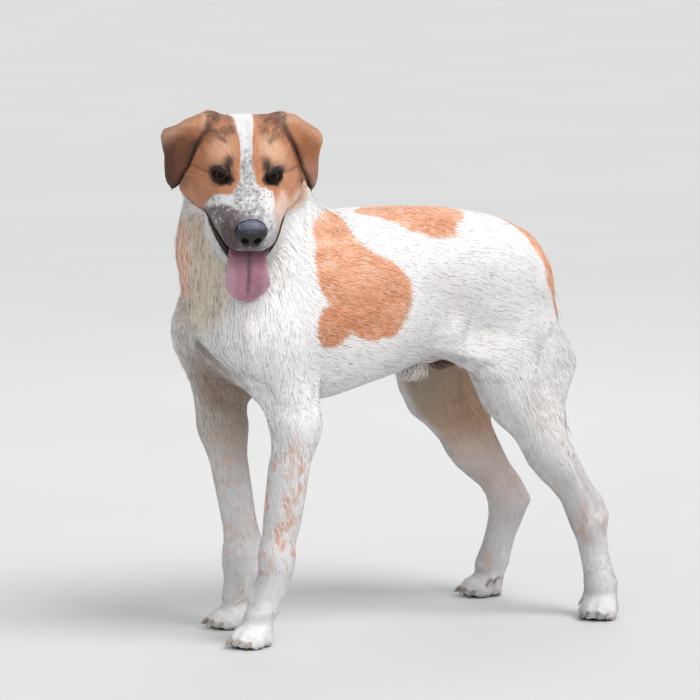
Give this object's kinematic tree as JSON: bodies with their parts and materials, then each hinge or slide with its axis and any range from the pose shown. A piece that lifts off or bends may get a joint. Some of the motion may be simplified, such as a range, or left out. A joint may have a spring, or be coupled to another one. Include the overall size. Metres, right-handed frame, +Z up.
{
  "type": "dog",
  "caption": "Large livestock-guardian dog standing still, head turned to its left, tongue out, folded ears, hanging tail, short white coat with orange patches.",
  "frame": {"origin": "on the floor, under the middle of the dog's bounding box", "axes": "+Z up, the body faces -Y, +X to the dog's left; the head is turned towards +X"},
  "size_m": [0.3276, 0.7046, 0.7591],
  "materials": {
    "coat": "short dense hair, longer on neck, chest and breeches",
    "eye": "wet gloss",
    "nose": "moist, finely pebbled",
    "tongue": "wet, finely rough",
    "claw": "smooth horn"
  },
  "bodies": {
    "root": {"trunk": "coat", "head": "coat", "neck": "coat", "lower_jaw": "coat", "ear_left": "coat", "ear_right": "coat", "eye_left": "eye", "eye_right": "eye", "nose": "nose", "tongue": "tongue", "foreleg_left": "coat", "paw_fore_left": "coat", "claw_fore_left_1": "claw", "claw_fore_left_2": "claw", "claw_fore_left_3": "claw", "claw_fore_left_4": "claw", "dewclaw_fore_left_1": "claw", "foreleg_right": "coat", "paw_fore_right": "coat", "claw_fore_right_1": "claw", "claw_fore_right_2": "claw", "claw_fore_right_3": "claw", "claw_fore_right_4": "claw", "dewclaw_fore_right_1": "claw", "hindleg_left": "coat", "paw_hind_left": "coat", "claw_hind_left_1": "claw", "claw_hind_left_2": "claw", "claw_hind_left_3": "claw", "claw_hind_left_4": "claw", "dewclaw_hind_left_1": "claw", "dewclaw_hind_left_2": "claw", "hindleg_right": "coat", "paw_hind_right": "coat", "claw_hind_right_1": "claw", "claw_hind_right_2": "claw", "claw_hind_right_3": "claw", "claw_hind_right_4": "claw", "dewclaw_hind_right_1": "claw", "dewclaw_hind_right_2": "claw", "tail": "coat"}
  },
  "joints": []
}
